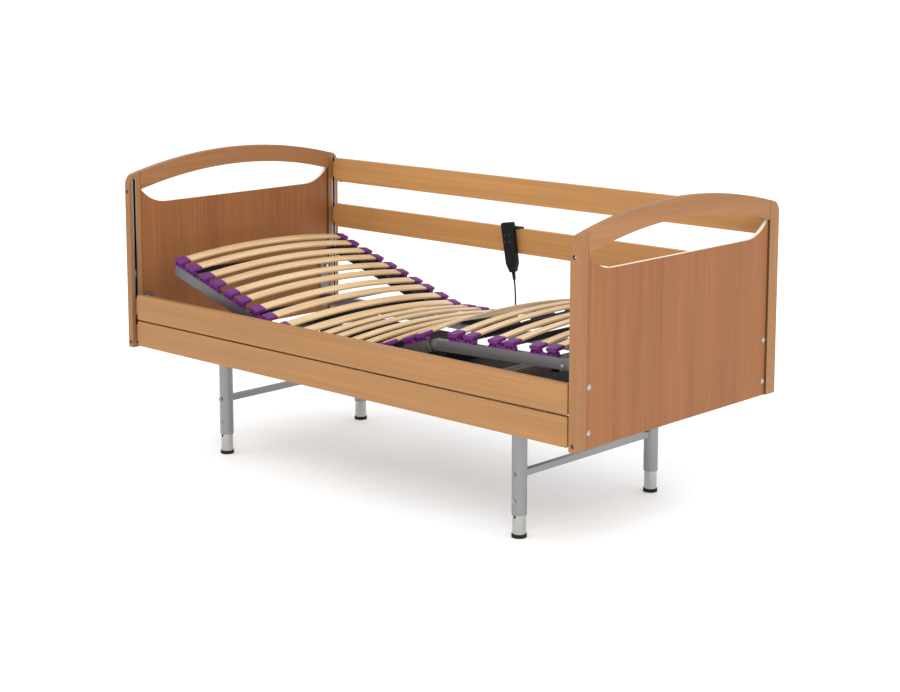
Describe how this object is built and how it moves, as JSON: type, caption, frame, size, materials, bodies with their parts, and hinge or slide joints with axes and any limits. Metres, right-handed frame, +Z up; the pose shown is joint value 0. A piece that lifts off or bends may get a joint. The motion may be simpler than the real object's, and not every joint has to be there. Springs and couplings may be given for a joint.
{
  "type": "adjustable care bed",
  "caption": "Care bed with sprung slats in four hinged sections, panelled end boards with arched tops, sliding wooden side rails, telescopic legs and a hand control.",
  "frame": {"origin": "on the floor, under the middle of the bed", "axes": "+X to the foot end along the bed, +Y to the far side where the rails are raised, +Z up"},
  "size_m": [2.08, 1.014, 1.0559],
  "materials": {
    "beech": "satin lacquer",
    "veneer": "satin lacquer",
    "slat_beech": "satin lacquer",
    "holder_rubber": "matt",
    "chrome_leg": "polished",
    "zinc": "satin",
    "silver_steel": "satin powder coat",
    "black_steel": "matt powder coat",
    "black_plastic": "matt",
    "key_plastic": "matt",
    "cord_rubber": "matt"
  },
  "bodies": {
    "bed_frame": {"head_posts": "beech", "head_arch": "beech", "head_panel": "veneer", "foot_posts": "beech", "foot_arch": "beech", "foot_panel": "veneer", "arch_dowels": "beech", "post_screws": "zinc", "guide_channels": "zinc", "catch_springs": "beech", "side_beams": "silver_steel", "cross_beams": "silver_steel", "frame_bolts": "zinc", "carrier_rails": "black_steel", "seat_profiles": "silver_steel", "seat_rails": "black_steel", "seat_holders": "holder_rubber", "seat_slats": "slat_beech", "leg_sleeves": "silver_steel", "leg_braces": "silver_steel", "brace_bolts": "zinc", "strut_shaft": "zinc", "drive_housing": "black_plastic", "drive_lid": "black_plastic", "control_box": "black_plastic", "handset_cord": "cord_rubber"},
    "back_section": {"back_profiles": "silver_steel", "back_frame": "black_steel", "back_holders": "holder_rubber", "back_slats": "slat_beech"},
    "thigh_section": {"thigh_profiles": "silver_steel", "thigh_frame": "black_steel", "thigh_holders": "holder_rubber", "thigh_slats": "slat_beech"},
    "calf_section": {"calf_profiles": "silver_steel", "calf_frame": "black_steel", "calf_holders": "holder_rubber", "calf_slats": "slat_beech"},
    "calf_strut": {"strut": "silver_steel"},
    "inner_leg_head_near": {"leg_head_near": "chrome_leg"},
    "lock_button_head_near": {"pin_head_near": "zinc"},
    "inner_leg_head_far": {"leg_head_far": "chrome_leg"},
    "lock_button_head_far": {"pin_head_far": "zinc"},
    "inner_leg_foot_near": {"leg_foot_near": "chrome_leg"},
    "lock_button_foot_near": {"pin_foot_near": "zinc"},
    "inner_leg_foot_far": {"leg_foot_far": "chrome_leg"},
    "lock_button_foot_far": {"pin_foot_far": "zinc"},
    "near_upper_side_rail": {"near_upper_rail": "beech"},
    "near_lower_side_rail": {"near_lower_rail": "beech"},
    "far_upper_side_rail": {"far_upper_rail": "beech"},
    "far_lower_side_rail": {"far_lower_rail": "beech", "handset": "black_plastic", "handset_hook": "black_plastic", "handset_gland": "cord_rubber"},
    "near_release": {"near_latch": "black_plastic"},
    "far_release": {"far_latch": "black_plastic"},
    "key_back_up_body": {"key_back_up": "key_plastic"},
    "key_back_down_body": {"key_back_down": "key_plastic"},
    "key_legs_up_body": {"key_legs_up": "key_plastic"},
    "key_legs_down_body": {"key_legs_down": "key_plastic"}
  },
  "joints": [
    {"name": "back_hinge", "type": "hinge", "parent": "bed_frame", "child": "back_section", "pos_m": [-0.262, 0, 0.4605], "axis": [0, 1, 0], "range_deg": [-16.9, 45]},
    {"name": "thigh_hinge", "type": "hinge", "parent": "bed_frame", "child": "thigh_section", "pos_m": [0.058, 0, 0.4605], "axis": [0, -1, 0], "range_deg": [-18.4, 14.6]},
    {"name": "knee_hinge", "type": "hinge", "parent": "thigh_section", "child": "calf_section", "pos_m": [0.39011, 0, 0.57098], "axis": [0, 1, 0], "range_deg": [-16.4, 13]},
    {"name": "strut_pivot", "type": "hinge", "parent": "bed_frame", "child": "calf_strut", "pos_m": [0.4023, 0, 0.4349], "axis": [0, -1, 0], "range_deg": [-16.5, 13.1]},
    {"name": "near_upper_slide", "type": "slide", "parent": "bed_frame", "child": "near_upper_side_rail", "axis": [0, 0, 1], "range_m": [0, 0.414]},
    {"name": "near_lower_slide", "type": "slide", "parent": "bed_frame", "child": "near_lower_side_rail", "axis": [0, 0, 1], "range_m": [0, 0.33]},
    {"name": "far_upper_slide", "type": "slide", "parent": "bed_frame", "child": "far_upper_side_rail", "axis": [0, 0, 1], "range_m": [-0.414, 0]},
    {"name": "far_lower_slide", "type": "slide", "parent": "bed_frame", "child": "far_lower_side_rail", "axis": [0, 0, 1], "range_m": [-0.33, 0], "deforming": ["handset_cord"]},
    {"name": "near_release_press", "type": "slide", "parent": "near_upper_side_rail", "child": "near_release", "axis": [0, 0, 1], "range_m": [0, 0.0025], "stiffness_N_per_m": 500, "springref_m": -0.003},
    {"name": "far_release_press", "type": "slide", "parent": "far_upper_side_rail", "child": "far_release", "axis": [0, 0, 1], "range_m": [0, 0.0025], "stiffness_N_per_m": 500, "springref_m": -0.003},
    {"name": "leg_slide_head_near", "type": "slide", "parent": "bed_frame", "child": "inner_leg_head_near", "axis": [0, 0, -1], "range_m": [0, 0.05]},
    {"name": "lock_pull_head_near", "type": "slide", "parent": "bed_frame", "child": "lock_button_head_near", "axis": [0, -1, 0], "range_m": [0, 0.006], "stiffness_N_per_m": 600, "springref_m": -0.003},
    {"name": "leg_slide_head_far", "type": "slide", "parent": "bed_frame", "child": "inner_leg_head_far", "axis": [0, 0, -1], "range_m": [0, 0.05]},
    {"name": "lock_pull_head_far", "type": "slide", "parent": "bed_frame", "child": "lock_button_head_far", "axis": [0, 1, 0], "range_m": [0, 0.006], "stiffness_N_per_m": 600, "springref_m": -0.003},
    {"name": "leg_slide_foot_near", "type": "slide", "parent": "bed_frame", "child": "inner_leg_foot_near", "axis": [0, 0, -1], "range_m": [0, 0.05]},
    {"name": "lock_pull_foot_near", "type": "slide", "parent": "bed_frame", "child": "lock_button_foot_near", "axis": [0, -1, 0], "range_m": [0, 0.006], "stiffness_N_per_m": 600, "springref_m": -0.003},
    {"name": "leg_slide_foot_far", "type": "slide", "parent": "bed_frame", "child": "inner_leg_foot_far", "axis": [0, 0, -1], "range_m": [0, 0.05]},
    {"name": "lock_pull_foot_far", "type": "slide", "parent": "bed_frame", "child": "lock_button_foot_far", "axis": [0, 1, 0], "range_m": [0, 0.006], "stiffness_N_per_m": 600, "springref_m": -0.003},
    {"name": "key_back_up_press", "type": "slide", "parent": "far_lower_side_rail", "child": "key_back_up_body", "axis": [0, 1, 0], "range_m": [0, 0.0012], "stiffness_N_per_m": 400, "springref_m": -0.0005},
    {"name": "key_back_down_press", "type": "slide", "parent": "far_lower_side_rail", "child": "key_back_down_body", "axis": [0, 1, 0], "range_m": [0, 0.0012], "stiffness_N_per_m": 400, "springref_m": -0.0005},
    {"name": "key_legs_up_press", "type": "slide", "parent": "far_lower_side_rail", "child": "key_legs_up_body", "axis": [0, 1, 0], "range_m": [0, 0.0012], "stiffness_N_per_m": 400, "springref_m": -0.0005},
    {"name": "key_legs_down_press", "type": "slide", "parent": "far_lower_side_rail", "child": "key_legs_down_body", "axis": [0, 1, 0], "range_m": [0, 0.0012], "stiffness_N_per_m": 400, "springref_m": -0.0005}
  ],
  "couplings": [
    {"joint": "knee_hinge", "follows": "thigh_hinge", "ratio": 0.8859},
    {"joint": "strut_pivot", "follows": "thigh_hinge", "ratio": 0.8924},
    {"joint": "near_lower_slide", "follows": "near_upper_slide", "ratio": 0.7971},
    {"joint": "far_lower_slide", "follows": "far_upper_slide", "ratio": 0.7971}
  ]
}
